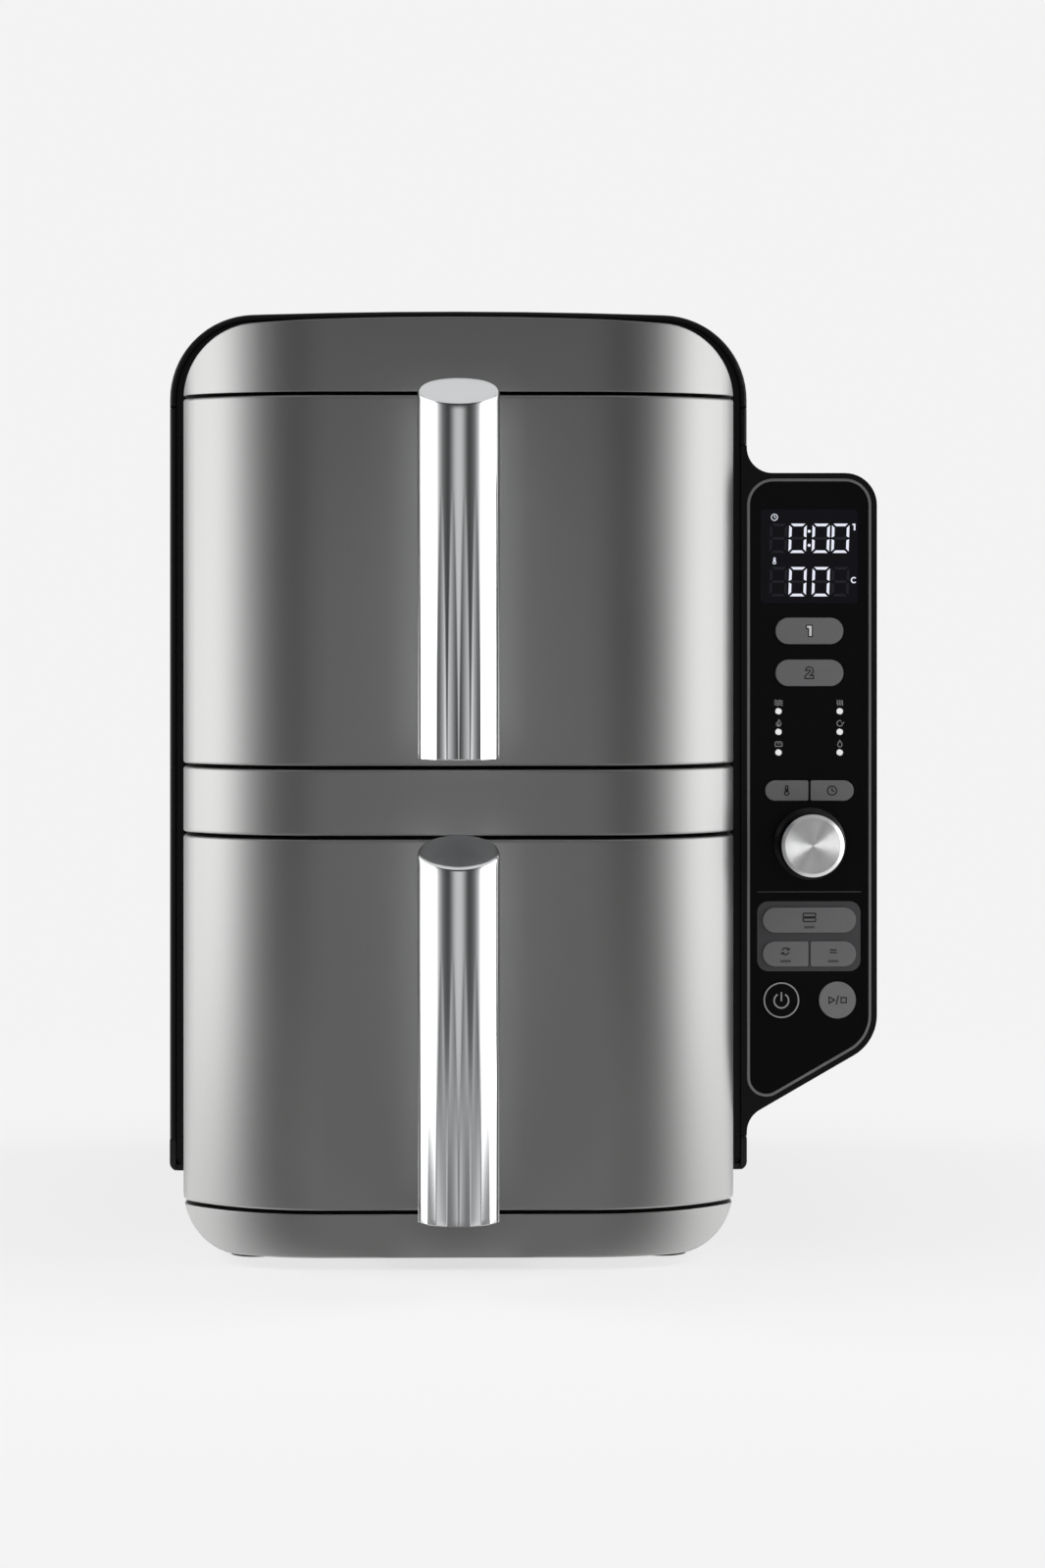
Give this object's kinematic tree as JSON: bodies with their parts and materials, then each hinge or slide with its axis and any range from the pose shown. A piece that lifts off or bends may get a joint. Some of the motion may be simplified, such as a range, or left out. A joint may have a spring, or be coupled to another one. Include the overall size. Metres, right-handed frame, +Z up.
{
  "type": "two-drawer air fryer",
  "caption": "Tall stacked air fryer with two pull-out basket drawers one above the other, upright fluted handles and a control pod with keys, dial and display on its right side.",
  "frame": {"origin": "on the floor under the middle of the whole object's bounding box", "axes": "+Z up, +X to the right seen from the front (the pod's side), +Y from the front to the rear"},
  "size_m": [0.2912, 0.4722, 0.3857],
  "materials": {
    "grey_satin": "satin metallic",
    "black_satin": "satin",
    "frame_black": "matte",
    "foot_rubber": "matte",
    "screw_steel": "satin",
    "sheet_steel": "brushed",
    "element": "satin",
    "fan_metal": "satin",
    "fan_plastic": "matte",
    "shaft_steel": "polished",
    "motor_steel": "satin",
    "nonstick": "non-stick coated",
    "silicone": "matte",
    "handle_chrome": "polished",
    "post_chrome": "polished",
    "trim_grey": "satin",
    "panel_gloss": "gloss",
    "display_gloss": "gloss",
    "light_white": "gloss",
    "key_dark": "satin",
    "key_start": "satin",
    "knob_black": "gloss",
    "cap_steel": "brushed",
    "encoder_grey": "matte",
    "board_green": "satin"
  },
  "bodies": {
    "case": {"base_tray": "grey_satin", "top_fascia": "grey_satin", "middle_fascia": "grey_satin", "chassis_pan": "black_satin", "left_side_panel": "black_satin", "right_side_panel": "black_satin", "top_cover": "black_satin", "rear_cover": "black_satin", "pod_shell": "black_satin", "cord_gland": "black_satin", "front_frame": "frame_black", "rubber_feet": "foot_rubber", "case_screws": "screw_steel", "lower_cavity": "sheet_steel", "upper_cavity": "sheet_steel", "lower_fan_guard": "sheet_steel", "upper_fan_guard": "sheet_steel", "drawer_runners": "sheet_steel", "lower_heater": "element", "upper_heater": "element", "lower_motor": "motor_steel", "upper_motor": "motor_steel", "pod_trim": "trim_grey", "control_panel": "panel_gloss", "display_module": "display_gloss", "indicator_lights": "light_white", "dial_encoder": "encoder_grey", "control_board": "board_green", "power_board": "board_green"},
    "lower_drawer": {"lower_drawer_front": "grey_satin", "lower_drawer_liner": "frame_black", "lower_basket": "nonstick", "lower_handle": "handle_chrome", "lower_handle_posts": "post_chrome"},
    "lower_crisper": {"lower_crisper_plate": "nonstick", "lower_crisper_bumpers": "silicone"},
    "lower_rotor": {"lower_fan": "fan_metal", "lower_cooling_fan": "fan_plastic", "lower_motor_shaft": "shaft_steel"},
    "upper_drawer": {"upper_drawer_front": "grey_satin", "upper_drawer_liner": "frame_black", "upper_basket": "nonstick", "upper_handle": "handle_chrome", "upper_handle_posts": "post_chrome"},
    "upper_crisper": {"upper_crisper_plate": "nonstick", "upper_crisper_bumpers": "silicone"},
    "upper_rotor": {"upper_fan": "fan_metal", "upper_cooling_fan": "fan_plastic", "upper_motor_shaft": "shaft_steel"},
    "dial": {"dial_knob": "knob_black", "dial_cap": "cap_steel"},
    "zone_one_button": {"zone_one_key": "key_dark"},
    "zone_two_button": {"zone_two_key": "key_dark"},
    "stack_button": {"stack_key": "key_dark"},
    "temperature_button": {"temperature_key": "key_dark"},
    "time_button": {"time_key": "key_dark"},
    "sync_button": {"sync_key": "key_dark"},
    "match_button": {"match_key": "key_dark"},
    "power_button": {"power_key": "panel_gloss"},
    "start_button": {"start_key": "key_start"}
  },
  "joints": [
    {"name": "lower_drawer_slide", "type": "slide", "parent": "case", "child": "lower_drawer", "axis": [0, -1, 0], "range_m": [0, 0.24]},
    {"name": "lower_crisper_lift", "type": "slide", "parent": "lower_drawer", "child": "lower_crisper", "axis": [0, 0, 1], "range_m": [0, 0.1]},
    {"name": "lower_fan_spin", "type": "hinge", "parent": "case", "child": "lower_rotor", "pos_m": [-0.02685, 0.16962, 0.10155], "axis": [0, 1, 0], "continuous": true},
    {"name": "upper_drawer_slide", "type": "slide", "parent": "case", "child": "upper_drawer", "axis": [0, -1, 0], "range_m": [0, 0.24]},
    {"name": "upper_crisper_lift", "type": "slide", "parent": "upper_drawer", "child": "upper_crisper", "axis": [0, 0, 1], "range_m": [0, 0.1]},
    {"name": "upper_fan_spin", "type": "hinge", "parent": "case", "child": "upper_rotor", "pos_m": [-0.02685, 0.16962, 0.27855], "axis": [0, 1, 0], "continuous": true},
    {"name": "dial_turn", "type": "hinge", "parent": "case", "child": "dial", "pos_m": [0.1177, -0.10408, 0.1664], "axis": [0, 1, 0], "continuous": true},
    {"name": "zone_one_press", "type": "slide", "parent": "case", "child": "zone_one_button", "axis": [0, 1, 0], "range_m": [0, 0.0008], "stiffness_N_per_m": 900},
    {"name": "zone_two_press", "type": "slide", "parent": "case", "child": "zone_two_button", "axis": [0, 1, 0], "range_m": [0, 0.0008], "stiffness_N_per_m": 900},
    {"name": "stack_press", "type": "slide", "parent": "case", "child": "stack_button", "axis": [0, 1, 0], "range_m": [0, 0.0008], "stiffness_N_per_m": 900},
    {"name": "temperature_press", "type": "slide", "parent": "case", "child": "temperature_button", "axis": [0, 1, 0], "range_m": [0, 0.0008], "stiffness_N_per_m": 900},
    {"name": "time_press", "type": "slide", "parent": "case", "child": "time_button", "axis": [0, 1, 0], "range_m": [0, 0.0008], "stiffness_N_per_m": 900},
    {"name": "sync_press", "type": "slide", "parent": "case", "child": "sync_button", "axis": [0, 1, 0], "range_m": [0, 0.0008], "stiffness_N_per_m": 900},
    {"name": "match_press", "type": "slide", "parent": "case", "child": "match_button", "axis": [0, 1, 0], "range_m": [0, 0.0008], "stiffness_N_per_m": 900},
    {"name": "power_press", "type": "slide", "parent": "case", "child": "power_button", "axis": [0, 1, 0], "range_m": [0, 0.0008], "stiffness_N_per_m": 900},
    {"name": "start_press", "type": "slide", "parent": "case", "child": "start_button", "axis": [0, 1, 0], "range_m": [0, 0.0008], "stiffness_N_per_m": 900}
  ]
}
